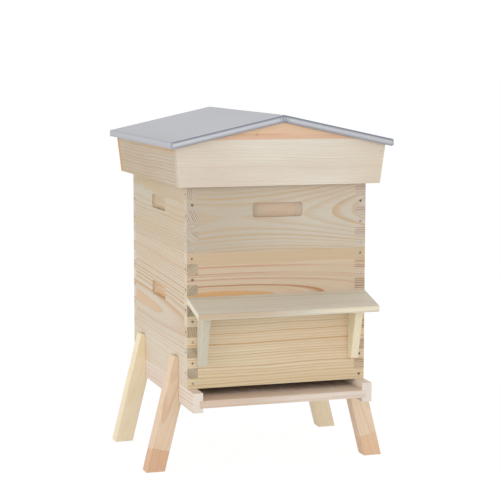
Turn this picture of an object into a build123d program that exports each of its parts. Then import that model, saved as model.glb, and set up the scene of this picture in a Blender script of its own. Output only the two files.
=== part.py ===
from build123d import *
import math
import os

# A ten-frame hive: floor stand on splayed legs, brood box with a porch, super, crown tray, chalet roof.
# Millimetres, +Z up, front towards -Y, origin on the ground under the middle of the footprint.

# Frames, which set the size of both boxes
frame_count = 10
frame_pitch = 38.0
frame_length = 435.0
brood_frame_depth = 300.0
super_frame_depth = 160.0
top_bar_width = 28.0
top_bar_thickness = 19.0
lug_thickness = 10.0
lug_bearing = 11.0
end_bar_thickness = 10.0
end_bar_width = 26.0
shoulder_gap = 1.0
shoulder_depth = 60.0
shoulder_taper = 25.0
bottom_bar_thickness = 10.0
bottom_bar_width = 20.0

# Room that the bees need round the frames
bee_space = 8.0
end_space = 7.5
foot_space = 2.0

# Boxes
wall = 25.0
brood_fingers = 13
super_fingers = 7
lug_play = 1.5

# Handholds milled into the walls
handhold_length = 120.0
handhold_height = 33.0
handhold_depth = 12.0
handhold_ramp = 14.0
handhold_corner = 7.0
brood_handhold_drop = 116.0
super_handhold_drop = 76.0

# Floor: two side rails and a back rail, grooved for the boards and the landing strip
rail_thickness = 23.0
rail_height = 45.0
groove_depth = 8.0
entrance_height = 18.0
floor_thickness = 17.0
landing_reach = 50.0
landing_strip_depth = 54.0
floor_joint_offset = 26.0

# Splayed legs, cut upright above the rail's underside
stand_clearance = 162.0
leg_lean = 14.0
leg_width = 45.0
leg_depth = 36.0
leg_shoulder = 7.0
leg_tip_rise = 63.0
leg_tip_round = 6.0
leg_arris = 2.5
leg_end_inset = 93.0

# Porch over the entrance
porch_projection = 95.0
porch_fall = 25.5
porch_thickness = 14.0
porch_drop = 99.0
bracket_thickness = 18.0
bracket_inset = 23.0
bracket_drop = 256.0
bracket_foot_depth = 21.0
bracket_lean = 14.6

# Crown tray
tray_stick_width = 25.0
tray_stick_height = 27.0
tray_panel_thickness = 4.0

# Chalet roof
roof_clearance = 5.0
roof_board = 20.0
roof_flare = 5.7
roof_skirt = 92.0
roof_overlap = 50.0
roof_pitch = 12.3
roof_overhang = 24.0
roof_deck_thickness = 9.0
roof_rest_width = 30.0
roof_rest_height = 20.0
sheet_thickness = 1.0
eave_fold = 15.0
gable_fold = 17.0
gable_bulge = 3.5
roof_nail_low = 35.0
roof_nail_high = 72.0

# Nails and screws, with few sides because there are many of them
shank_sides = 4
head_sides = 8
nail_radius = 1.5
nail_length = 50.0
nail_head_radius = 3.2
nail_head_thickness = 1.5
screw_radius = 2.0
leg_screw_length = 37.0
porch_screw_length = 43.0
screw_head_radius = 4.0
screw_head_thickness = 2.0
fastener_play = 0.05
leg_screw_spacing = 18.0
porch_screw_low = 22.0
porch_screw_spacing = 70.0
landing_nail_inset = 12.0

# Sizes that follow from the ones above
inner_width = frame_count * frame_pitch
inner_length = frame_length + 2 * end_space
box_width = inner_width + 2 * wall
box_length = inner_length + 2 * wall
brood_height = brood_frame_depth + bee_space + foot_space
super_height = super_frame_depth + bee_space + foot_space
ledge_depth = bee_space + lug_thickness
rabbet_depth = lug_bearing + lug_play

rail_top = stand_clearance + rail_height
floor_top = rail_top - entrance_height
floor_bottom = floor_top - floor_thickness
brood_bottom = rail_top
brood_top = brood_bottom + brood_height
super_bottom = brood_top
super_top = super_bottom + super_height
tray_bottom = super_top
tray_top = tray_bottom + tray_panel_thickness + tray_stick_height
roof_bottom = tray_top - roof_overlap

skirt_inner_x = box_width / 2 + roof_clearance
skirt_outer_x = skirt_inner_x + roof_board
skirt_inner_y = box_length / 2 + roof_clearance
skirt_outer_y = skirt_inner_y + roof_board
sheet_half_width = skirt_outer_x + roof_overhang
sheet_half_length = skirt_outer_y + roof_overhang

# The hive stands so far back that the porch and the roof reach equally far from the origin
hive_y = (box_length / 2 + porch_projection - sheet_half_length) / 2
box_front = hive_y - box_length / 2
box_back = hive_y + box_length / 2
floor_front = box_front - landing_reach

flare = math.tan(math.radians(roof_flare))
pitch = math.tan(math.radians(roof_pitch))
steepness = math.cos(math.radians(roof_pitch))
lean = math.tan(math.radians(leg_lean))

nail = (nail_radius, nail_length, nail_head_radius, nail_head_thickness)
leg_screw = (screw_radius, leg_screw_length, screw_head_radius, screw_head_thickness)
porch_screw = (screw_radius, porch_screw_length, screw_head_radius, screw_head_thickness)

os.makedirs("parts", exist_ok=True)


def save(piece, name):
    """Label a finished piece and write it to its own file."""
    piece.label = name
    export_step(piece, f"parts/{name}.step")


def across(y):
    """Upright plane across the hive at y: x to the right, y up, normal to the front."""
    return Plane(origin=(0, y, 0), x_dir=(1, 0, 0), z_dir=(0, -1, 0))


def along(x):
    """Upright plane along the hive at x: x to the back, y up, normal to the right."""
    return Plane(origin=(x, 0, 0), x_dir=(0, 1, 0), z_dir=(1, 0, 0))


def wall_plane(side, bottom):
    """Plane on the outer face of a box wall: x along the wall, y up from its foot, normal outwards."""
    normals = {"front": (0, -1, 0), "back": (0, 1, 0), "left": (-1, 0, 0), "right": (1, 0, 0)}
    normal = Vector(normals[side])
    reach = box_length / 2 if side in ("front", "back") else box_width / 2
    origin = Vector(0, hive_y, bottom) + normal * reach
    return Plane(origin=origin, x_dir=Vector(0, 0, 1).cross(normal), z_dir=normal)


def fasteners(kind, planes, spots, play=0.0):
    """Nails or screws driven square into each plane at its spots, or with play, the holes for them."""
    shank_radius, length, head_radius, head_thickness = kind
    with BuildPart() as driven:
        with BuildSketch(*planes):
            with Locations(*spots):
                RegularPolygon(shank_radius + play, shank_sides)
        extrude(amount=-length - play)
        with BuildSketch(*planes):
            with Locations(*spots):
                RegularPolygon(head_radius + play, head_sides)
        extrude(amount=-head_thickness)
    return driven.part


def paired(kind, pairs, play=0.0):
    """Fasteners in several planes, each with spots of its own."""
    groups = [fasteners(kind, [plane], spots, play) for plane, spots in pairs]
    return Compound([solid for group in groups for solid in group.solids()])


# Floor rails, grooved along their inner faces, with the leg screws sunk in the grooves behind the boards

leg_ys = {"front": box_front + leg_end_inset, "back": box_back - leg_end_inset}
leg_screw_height = floor_bottom + floor_thickness / 2
leg_screw_spots = [
    (y + step * leg_screw_spacing / 2, leg_screw_height)
    for y in leg_ys.values()
    for step in (-1, 1)
]
rail_inner = box_width / 2 - rail_thickness
tongue_x = rail_inner + groove_depth
leg_screw_pairs = [
    (Plane(origin=(tongue_x, 0, 0), x_dir=(0, -1, 0), z_dir=(-1, 0, 0)),
     [(-y, z) for y, z in leg_screw_spots]),
    (along(-tongue_x), leg_screw_spots),
]
floor_nail_spots = [
    (floor_front + landing_nail_inset, floor_bottom + floor_thickness / 2),
    (box_back - rail_thickness / 2, stand_clearance + rail_height / 2),
]
floor_nail_pairs = [
    (Plane(origin=(-box_width / 2, 0, 0), x_dir=(0, -1, 0), z_dir=(-1, 0, 0)),
     [(-y, z) for y, z in floor_nail_spots]),
    (along(box_width / 2), floor_nail_spots),
]

leg_screw_holes = paired(leg_screw, leg_screw_pairs, fastener_play)
floor_nail_holes = paired(nail, floor_nail_pairs, fastener_play)

for name, side in (("left_floor_rail", -1), ("right_floor_rail", 1)):
    with BuildPart() as rail:
        with BuildSketch(across(floor_front)):
            with Locations((side * (box_width - rail_thickness) / 2, stand_clearance + rail_height / 2)):
                Rectangle(rail_thickness, rail_height)
            with Locations((side * (rail_inner + groove_depth / 2), floor_bottom + floor_thickness / 2)):
                Rectangle(groove_depth, floor_thickness, mode=Mode.SUBTRACT)
        extrude(amount=floor_front - box_back)
        add(leg_screw_holes, mode=Mode.SUBTRACT)
        add(floor_nail_holes, mode=Mode.SUBTRACT)
    save(rail.part, name)

# Back rail, grooved for the boards, with a stub tenon in the end of each side rail's groove

board_back = box_back - rail_thickness + groove_depth
tenon_spots = [
    (side * (rail_inner + groove_depth / 2), (board_back + box_back) / 2)
    for side in (-1, 1)
]

with BuildPart() as back_rail:
    with BuildSketch(along(-rail_inner)):
        with Locations((box_back - rail_thickness / 2, stand_clearance + rail_height / 2)):
            Rectangle(rail_thickness, rail_height)
        groove_y = box_back - rail_thickness + groove_depth / 2
        with Locations((groove_y, floor_bottom + floor_thickness / 2)):
            Rectangle(groove_depth, floor_thickness, mode=Mode.SUBTRACT)
    extrude(amount=2 * rail_inner)
    with BuildSketch(Plane.XY.offset(floor_bottom)):
        with Locations(tenon_spots):
            Rectangle(groove_depth, box_back - board_back)
    extrude(amount=floor_thickness)
    add(floor_nail_holes, mode=Mode.SUBTRACT)
save(back_rail.part, "back_floor_rail")

# Landing strip and floor boards, held in the grooves

strip_back = floor_front + landing_strip_depth

with BuildPart() as strip:
    with BuildSketch(Plane.XY.offset(floor_bottom)):
        with Locations((0, (floor_front + strip_back) / 2)):
            Rectangle(2 * tongue_x, landing_strip_depth)
    extrude(amount=floor_thickness)
    add(floor_nail_holes, mode=Mode.SUBTRACT)
save(strip.part, "landing_strip")

for name, low, high in (
    ("left_floor_board", -tongue_x, floor_joint_offset),
    ("right_floor_board", floor_joint_offset, tongue_x),
):
    with BuildPart() as board:
        with BuildSketch(Plane.XY.offset(floor_bottom)):
            with Locations(((low + high) / 2, (strip_back + board_back) / 2)):
                Rectangle(high - low, board_back - strip_back)
        extrude(amount=floor_thickness)
    save(board.part, name)

# Legs: a leaning bar with a shoulder under the rail and an upright face against it

leg_tip = rail_top + leg_tip_rise
foot_inner = box_width / 2 - leg_shoulder + stand_clearance * lean
foot_outer = foot_inner + leg_width
tip_outer = foot_outer - leg_tip * lean
tip_round = min(leg_tip_round, 0.8 * (tip_outer - box_width / 2))

for side_name, side in (("left", -1), ("right", 1)):
    for end_name, y in leg_ys.items():
        with BuildPart() as leg:
            with BuildSketch(across(y - leg_depth / 2)):
                with BuildLine():
                    Polyline(
                        (side * foot_inner, 0),
                        (side * foot_outer, 0),
                        (side * tip_outer, leg_tip),
                        (side * box_width / 2, leg_tip),
                        (side * box_width / 2, stand_clearance),
                        (side * (box_width / 2 - leg_shoulder), stand_clearance),
                        close=True,
                    )
                make_face()
            extrude(amount=-leg_depth)
            tip_edges = leg.edges().filter_by(Axis.Y).group_by(Axis.Z)[-1]
            fillet(tip_edges.sort_by(Axis.X)[0 if side > 0 else -1], tip_round)
            outer_face = leg.faces().filter_by(lambda face: side * face.normal_at().X > 0.9)[0]
            fillet(outer_face.edges().sort_by(SortBy.LENGTH)[-2:], leg_arris)
            add(leg_screw_holes, mode=Mode.SUBTRACT)
        save(leg.part, f"{end_name}_{side_name}_leg")

save(paired(leg_screw, leg_screw_pairs), "leg_screws")
save(paired(nail, floor_nail_pairs), "floor_nails")

# Porch sizes that the front wall of the brood box shares

porch_top = brood_top - porch_drop
porch_slope = math.atan2(porch_fall, porch_projection)
porch_plumb = porch_thickness / math.cos(porch_slope)
bracket_x = box_width / 2 - bracket_inset - bracket_thickness / 2
bracket_foot = brood_top - bracket_drop
porch_screw_plane = Plane(origin=(0, box_front + wall, 0), x_dir=(-1, 0, 0), z_dir=(0, 1, 0))
porch_screw_spots = [
    (side * bracket_x, bracket_foot + porch_screw_low + step * porch_screw_spacing)
    for side in (-1, 1)
    for step in (0, 1)
]
porch_screw_holes = fasteners(porch_screw, [porch_screw_plane], porch_screw_spots, fastener_play)


def handhold(face, height):
    """A handhold: a flat-bottomed scoop that ramps out at both ends, with rounded corners."""
    foot = face.from_local_coords(Vector(0, height - handhold_height / 2, 0))
    level = Plane(origin=foot, x_dir=face.x_dir, z_dir=(0, 0, 1))
    half = handhold_length / 2
    flat = half - handhold_ramp
    with BuildPart() as scoop:
        with BuildSketch(level):
            with BuildLine():
                Line((-flat, handhold_depth), (flat, handhold_depth))
                TangentArc((flat, handhold_depth), (half, 0), tangent=(1, 0))
                Line((half, 0), (-half, 0))
                TangentArc((-flat, handhold_depth), (-half, 0), tangent=(-1, 0))
            make_face()
        extrude(amount=handhold_height)
        with BuildSketch(face):
            with Locations((0, height)):
                RectangleRounded(handhold_length, handhold_height, handhold_corner)
        extrude(amount=-handhold_depth, mode=Mode.INTERSECT)
    return scoop.part


def finger_box(box, bottom, height, fingers, holds, hold_drop, extra_holes):
    """Four walls with finger joints at the corners, the cross walls rabbeted to carry frame lugs."""
    finger = height / fingers
    ends = [wall_plane("front", bottom), wall_plane("back", bottom)]
    corner_x = (box_width - wall) / 2
    spots = [(s * corner_x, (i + 0.5) * finger) for s in (-1, 1) for i in range(0, fingers, 2)]
    nail_holes = fasteners(nail, ends, spots, fastener_play)
    for side in ("front", "back", "left", "right"):
        cross = side in ("front", "back")
        length = box_width if cross else box_length
        first_notch = 1 if cross else 0
        notch_x = (length - wall) / 2
        notches = [
            (s * notch_x, (i + 0.5) * finger) for s in (-1, 1) for i in range(first_notch, fingers, 2)
        ]
        face = wall_plane(side, bottom)
        with BuildPart() as board:
            with BuildSketch(face):
                with Locations((0, height / 2)):
                    Rectangle(length, height)
                with Locations(*notches):
                    Rectangle(wall, finger, mode=Mode.SUBTRACT)
            extrude(amount=-wall)
            if cross:
                with BuildSketch(face.offset(-wall)):
                    with Locations((0, height - ledge_depth / 2)):
                        Rectangle(inner_width, ledge_depth)
                extrude(amount=rabbet_depth, mode=Mode.SUBTRACT)
            if side in holds:
                add(handhold(face, height - hold_drop), mode=Mode.SUBTRACT)
            add(nail_holes, mode=Mode.SUBTRACT)
            if side in extra_holes:
                add(extra_holes[side], mode=Mode.SUBTRACT)
        save(board.part, f"{box}_{side}_board")
    save(fasteners(nail, ends, spots), f"{box}_nails")


def frame(name, x, rim, depth):
    """A frame hung below a rim: shouldered top bar, two end bars with spacing shoulders, bottom bar."""
    top = rim - bee_space
    foot = top - depth
    half = frame_length / 2
    reach = half + end_space + lug_bearing
    end_top = top - lug_thickness
    spacing = frame_pitch - shoulder_gap
    with BuildPart() as top_bar:
        with BuildSketch(along(x - top_bar_width / 2)):
            with Locations((hive_y, top - lug_thickness / 2)):
                Rectangle(2 * reach, lug_thickness)
            with Locations((hive_y, top - top_bar_thickness / 2)):
                Rectangle(frame_length - 2 * end_bar_thickness, top_bar_thickness)
        extrude(amount=top_bar_width)
    with BuildPart() as end_bars:
        for face_y, inward in ((hive_y - half, -1), (hive_y + half, 1)):
            with BuildSketch(across(face_y)):
                with BuildLine():
                    Polyline(
                        (x - spacing / 2, end_top),
                        (x + spacing / 2, end_top),
                        (x + spacing / 2, end_top - shoulder_depth),
                        (x + end_bar_width / 2, end_top - shoulder_depth - shoulder_taper),
                        (x + end_bar_width / 2, foot),
                        (x - end_bar_width / 2, foot),
                        (x - end_bar_width / 2, end_top - shoulder_depth - shoulder_taper),
                        (x - spacing / 2, end_top - shoulder_depth),
                        close=True,
                    )
                make_face()
            extrude(amount=inward * end_bar_thickness)
    with BuildPart() as bottom_bar:
        with BuildSketch(Plane.XY.offset(foot)):
            with Locations((x, hive_y)):
                Rectangle(bottom_bar_width, frame_length - 2 * end_bar_thickness)
        extrude(amount=bottom_bar_thickness)
    save(Compound(top_bar.solids() + end_bars.solids() + bottom_bar.solids()), name)


def frame_row(box, rim, depth):
    """A full row of frames, side by side on the ledges of one box."""
    for number in range(frame_count):
        x = (number - (frame_count - 1) / 2) * frame_pitch
        frame(f"{box}_frame_{number + 1:02d}", x, rim, depth)


# Brood box and its frames

finger_box(
    "brood", brood_bottom, brood_height, brood_fingers,
    ("left", "right"), brood_handhold_drop, {"front": porch_screw_holes},
)
frame_row("brood", brood_top, brood_frame_depth)

# Porch board and brackets on the front wall

with BuildPart() as porch:
    with BuildSketch(along(-box_width / 2)):
        with BuildLine():
            square_end = porch_thickness * math.sin(porch_slope)
            Polyline(
                (box_front, porch_top),
                (box_front - porch_projection, porch_top - porch_fall),
                (box_front - porch_projection + square_end,
                 porch_top - porch_fall - porch_thickness * math.cos(porch_slope)),
                (box_front, porch_top - porch_plumb),
                close=True,
            )
        make_face()
    extrude(amount=box_width)
save(porch.part, "porch_board")

bracket_back_top = porch_top - porch_plumb
bracket_run = math.tan(math.radians(bracket_lean))
bracket_fall = porch_fall / porch_projection
bracket_top_depth = (bracket_foot_depth + (bracket_back_top - bracket_foot) * bracket_run) / (
    1 + bracket_fall * bracket_run
)
for name, side in (("left_porch_bracket", -1), ("right_porch_bracket", 1)):
    with BuildPart() as bracket:
        with BuildSketch(along(side * bracket_x - bracket_thickness / 2)):
            with BuildLine():
                Polyline(
                    (box_front, bracket_foot),
                    (box_front - bracket_foot_depth, bracket_foot),
                    (box_front - bracket_top_depth, bracket_back_top - bracket_top_depth * bracket_fall),
                    (box_front, bracket_back_top),
                    close=True,
                )
            make_face()
        extrude(amount=bracket_thickness)
        add(porch_screw_holes, mode=Mode.SUBTRACT)
    save(bracket.part, name)
save(fasteners(porch_screw, [porch_screw_plane], porch_screw_spots), "porch_screws")

# Super and its frames

finger_box(
    "super", super_bottom, super_height, super_fingers,
    ("front", "back", "left", "right"), super_handhold_drop, {},
)
frame_row("super", super_top, super_frame_depth)

# Crown tray: a thin panel under a rim with half-lapped corners

with BuildPart() as panel:
    with BuildSketch(Plane.XY.offset(tray_bottom)):
        with Locations((0, hive_y)):
            Rectangle(box_width, box_length)
    extrude(amount=tray_panel_thickness)
save(panel.part, "tray_panel")

stick_bottom = tray_bottom + tray_panel_thickness
lap = tray_stick_height / 2
for name, side in (("tray_front_stick", -1), ("tray_back_stick", 1)):
    y = hive_y + side * (box_length - tray_stick_width) / 2
    with BuildPart() as stick:
        with BuildSketch(across(y - tray_stick_width / 2)):
            with Locations((0, stick_bottom + lap * 1.5)):
                Rectangle(box_width, lap)
            with Locations((0, stick_bottom + lap / 2)):
                Rectangle(box_width - 2 * tray_stick_width, lap)
        extrude(amount=-tray_stick_width)
    save(stick.part, name)
for name, side in (("tray_left_stick", -1), ("tray_right_stick", 1)):
    x = side * (box_width - tray_stick_width) / 2
    with BuildPart() as stick:
        with BuildSketch(along(x - tray_stick_width / 2)):
            with Locations((hive_y, stick_bottom + lap / 2)):
                Rectangle(box_length, lap)
            with Locations((hive_y, stick_bottom + lap * 1.5)):
                Rectangle(box_length - 2 * tray_stick_width, lap)
        extrude(amount=tray_stick_width)
    save(stick.part, name)

# Roof: four leaning boards, a pitched deck, and a folded sheet whose gable lips bulge


def deck_underside(x):
    """Height of the deck's underside at a distance x from the ridge line."""
    return roof_bottom + roof_skirt + (sheet_half_width - x) * pitch


def skirt_top(foot_x):
    """Where a leaning skirt line that starts at foot_x meets the deck: its x and its height."""
    rise = (roof_skirt + (sheet_half_width - foot_x) * pitch) / (1 + flare * pitch)
    return foot_x + rise * flare, roof_bottom + rise


def gable_plane(end, inset):
    """Leaning plane of a gable board, inset from its outer face, normal outwards."""
    y = hive_y + end * (skirt_outer_y - inset)
    return Plane(origin=(0, y, roof_bottom), x_dir=(-end, 0, 0), z_dir=(0, end, -flare))


prism_length = 4 * sheet_half_length
prism_start = hive_y - prism_length / 2
deck_plumb = roof_deck_thickness / steepness
sheet_plumb = sheet_thickness / steepness

nail_heights = (roof_nail_low, roof_nail_high)
roof_nail_spots = [
    (side * (skirt_outer_x - roof_board / 2 + rise * flare), rise * math.hypot(1, flare))
    for side in (-1, 1)
    for rise in nail_heights
]
roof_nail_planes = [gable_plane(-1, 0), gable_plane(1, 0)]
roof_nail_holes = fasteners(nail, roof_nail_planes, roof_nail_spots, fastener_play)

for name, end in (("front_gable", -1), ("back_gable", 1)):
    top_x, top_z = skirt_top(skirt_outer_x)
    with BuildPart() as gable:
        with BuildSketch(across(prism_start)):
            with BuildLine():
                Polyline(
                    (-skirt_outer_x, roof_bottom),
                    (skirt_outer_x, roof_bottom),
                    (top_x, top_z),
                    (0, deck_underside(0)),
                    (-top_x, top_z),
                    close=True,
                )
            make_face()
        extrude(amount=-prism_length)
        split(bisect_by=gable_plane(end, 0), keep=Keep.BOTTOM)
        split(bisect_by=gable_plane(end, roof_board), keep=Keep.TOP)
        add(roof_nail_holes, mode=Mode.SUBTRACT)
    save(gable.part, name)

for name, side in (("left_roof_side", -1), ("right_roof_side", 1)):
    outer_x, outer_z = skirt_top(skirt_outer_x)
    inner_x, inner_z = skirt_top(skirt_inner_x)
    with BuildPart() as roof_side:
        with BuildSketch(across(prism_start)):
            with BuildLine():
                Polyline(
                    (side * skirt_inner_x, roof_bottom),
                    (side * skirt_outer_x, roof_bottom),
                    (side * outer_x, outer_z),
                    (side * inner_x, inner_z),
                    close=True,
                )
            make_face()
        extrude(amount=-prism_length)
        for end in (-1, 1):
            split(bisect_by=gable_plane(end, roof_board), keep=Keep.BOTTOM)
        add(roof_nail_holes, mode=Mode.SUBTRACT)
    save(roof_side.part, name)

with BuildPart() as rests:
    rest_x = skirt_inner_x + roof_overlap * flare
    with BuildSketch(across(prism_start)):
        for side in (-1, 1):
            with BuildLine():
                Polyline(
                    (side * (rest_x - roof_rest_width), tray_top),
                    (side * rest_x, tray_top),
                    (side * (rest_x + roof_rest_height * flare), tray_top + roof_rest_height),
                    (side * (rest_x - roof_rest_width), tray_top + roof_rest_height),
                    close=True,
                )
            make_face()
    extrude(amount=-prism_length)
    for end in (-1, 1):
        split(bisect_by=gable_plane(end, roof_board), keep=Keep.BOTTOM)
save(rests.part, "roof_rests")

deck_x = sheet_half_width - sheet_thickness
skin_half_length = sheet_half_length - gable_bulge
deck_half_length = skin_half_length - sheet_thickness
for name, side in (("left_roof_deck", -1), ("right_roof_deck", 1)):
    with BuildPart() as deck:
        with BuildSketch(across(hive_y - deck_half_length)):
            with BuildLine():
                Polyline(
                    (0, deck_underside(0)),
                    (side * deck_x, deck_underside(deck_x)),
                    (side * deck_x, deck_underside(deck_x) + deck_plumb),
                    (0, deck_underside(0) + deck_plumb),
                    close=True,
                )
            make_face()
        extrude(amount=-2 * deck_half_length)
    save(deck.part, name)

ridge_top = deck_underside(0) + deck_plumb + sheet_plumb
eave_top = deck_underside(sheet_half_width) + deck_plumb + sheet_plumb
with BuildSketch() as sheet_section:
    with Locations((0, -sheet_thickness / 2)):
        Rectangle(2 * skin_half_length, sheet_thickness)
    for end in (-1, 1):
        crease = end * skin_half_length
        crown = end * sheet_half_length
        inside = -end * sheet_thickness
        with BuildLine():
            ThreePointArc((crease, 0), (crown, -gable_fold / 2), (crease, -gable_fold))
            Line((crease, -gable_fold), (crease + inside, -gable_fold))
            ThreePointArc((crease + inside, -gable_fold), (crown + inside, -gable_fold / 2), (crease + inside, 0))
            Line((crease + inside, 0), (crease, 0))
        make_face()


def sheet_slope(side):
    """One slope of the sheet with its gable lips, cut upright at the ridge and at the eave."""
    downhill = (side * steepness, 0, -pitch * steepness)
    ridge = Plane(origin=(0, hive_y, ridge_top), x_dir=(0, side, 0), z_dir=downhill)
    outwards, inwards = (Keep.TOP, Keep.BOTTOM) if side > 0 else (Keep.BOTTOM, Keep.TOP)
    with BuildPart() as slope:
        with BuildSketch(ridge.offset(-gable_fold)):
            add(sheet_section.sketch)
        extrude(amount=sheet_half_width / steepness + 2 * gable_fold)
        split(bisect_by=Plane.YZ, keep=outwards)
        split(bisect_by=Plane.YZ.offset(side * sheet_half_width), keep=inwards)
    return slope.part


with BuildPart() as sheet:
    add(sheet_slope(-1))
    add(sheet_slope(1))
    with BuildSketch(Plane.XY.offset(eave_top - eave_fold)):
        for side in (-1, 1):
            with Locations((side * (sheet_half_width + deck_x) / 2, hive_y)):
                Rectangle(sheet_thickness, 2 * skin_half_length)
    extrude(amount=eave_fold)
save(sheet.part, "roof_sheet")

save(fasteners(nail, roof_nail_planes, roof_nail_spots), "roof_nails")
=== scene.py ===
# %% [markdown]
# # A ten-frame beehive in bare pine
# The solids of the hive are already modelled: floor on splayed legs, brood box with a porch, super, crown
# tray and pitched roof. This lesson dresses them. Wood is the whole story here, so most cells teach how a
# board gets its grain from the tree that it was sawn from. The few pieces that a plain solid can't show well,
# the folded roof metal and the nail heads, are computed as surfaces with numpy.

# %% Load the solids
import math

import bmesh
import bpy
import numpy as np
from mathutils import Matrix, Vector


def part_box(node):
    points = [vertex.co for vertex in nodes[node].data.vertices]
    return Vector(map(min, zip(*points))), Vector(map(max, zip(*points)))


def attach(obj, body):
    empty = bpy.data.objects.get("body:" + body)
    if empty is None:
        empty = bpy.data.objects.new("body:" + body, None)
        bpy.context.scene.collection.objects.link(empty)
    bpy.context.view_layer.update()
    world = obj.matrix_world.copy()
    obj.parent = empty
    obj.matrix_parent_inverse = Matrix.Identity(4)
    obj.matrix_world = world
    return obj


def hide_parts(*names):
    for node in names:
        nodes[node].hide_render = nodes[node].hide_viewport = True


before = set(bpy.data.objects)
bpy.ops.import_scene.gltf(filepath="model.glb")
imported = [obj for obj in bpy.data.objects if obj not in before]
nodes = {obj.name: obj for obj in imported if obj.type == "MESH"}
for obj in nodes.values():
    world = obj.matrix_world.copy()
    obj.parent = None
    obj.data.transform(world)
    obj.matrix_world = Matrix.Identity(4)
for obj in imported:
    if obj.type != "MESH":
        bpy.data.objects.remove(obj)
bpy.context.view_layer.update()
scene = bpy.context.scene

# %% [markdown]
# ## The photographer's camera
# The picture was taken with a long lens from the left, a little above the roof. Place, direction and focal
# length were fitted to the corners of both boxes. The hive in the picture has its sections lifted apart. With
# every lift at its end, this camera sees that picture; at rest it sees the hive closed.

# %% Camera
image_pixels = 500
focal_pixels = 1604.55
camera_place = Vector((-1.1792, -3.6719, 0.9634))
camera_yaw = math.radians(17.905)
camera_pitch = math.radians(6.975)
camera_roll = math.radians(0.107)

forward = Vector((
    math.sin(camera_yaw) * math.cos(camera_pitch),
    math.cos(camera_yaw) * math.cos(camera_pitch),
    -math.sin(camera_pitch),
))
level_right = Vector((math.cos(camera_yaw), -math.sin(camera_yaw), 0.0))
level_up = level_right.cross(forward)
right = math.cos(camera_roll) * level_right + math.sin(camera_roll) * level_up
up = math.cos(camera_roll) * level_up - math.sin(camera_roll) * level_right

camera = bpy.data.objects.new("camera", bpy.data.cameras.new("camera"))
scene.collection.objects.link(camera)
camera.data.sensor_width = 36.0
camera.data.lens = focal_pixels * camera.data.sensor_width / image_pixels
camera.data.clip_end = 100.0
camera.matrix_world = Matrix.Translation(camera_place) @ Matrix((right, up, -forward)).transposed().to_4x4()
scene.camera = camera
scene.view_settings.view_transform = "Standard"
print("lens", round(camera.data.lens, 1), "mm")

# %% [markdown]
# ## Shader maths as Python
# A node tree is arithmetic drawn as boxes. A small class wraps a socket, so that `rings * 0.5 + fibre` adds
# the Math nodes by itself. Every other kind of node comes from one method: settings first, then sockets.

# %% Sockets with operators
class Wire:
    """A socket that takes part in arithmetic: each operator adds one Math node."""

    def __init__(self, finish, socket):
        self.finish = finish
        self.socket = socket

    def maths(self, operation, first, second=0.0):
        return self.finish.node("Math", {"operation": operation}, {0: first, 1: second})

    def __add__(self, other):
        return self.maths("ADD", self, other)

    def __radd__(self, other):
        return self.maths("ADD", other, self)

    def __sub__(self, other):
        return self.maths("SUBTRACT", self, other)

    def __rsub__(self, other):
        return self.maths("SUBTRACT", other, self)

    def __mul__(self, other):
        return self.maths("MULTIPLY", self, other)

    def __rmul__(self, other):
        return self.maths("MULTIPLY", other, self)

    def __truediv__(self, other):
        return self.maths("DIVIDE", self, other)

    def __rtruediv__(self, other):
        return self.maths("DIVIDE", other, self)

    def __gt__(self, other):
        return self.maths("GREATER_THAN", self, other)

    def __lt__(self, other):
        return self.maths("LESS_THAN", self, other)

    def __abs__(self):
        return self.maths("ABSOLUTE", self)

    def most(self, other):
        return self.maths("MAXIMUM", self, other)

    def root(self):
        return self.maths("SQRT", self)

    def floor(self):
        return self.maths("FLOOR", self)

    def fraction(self):
        return self.maths("FRACT", self)


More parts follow.
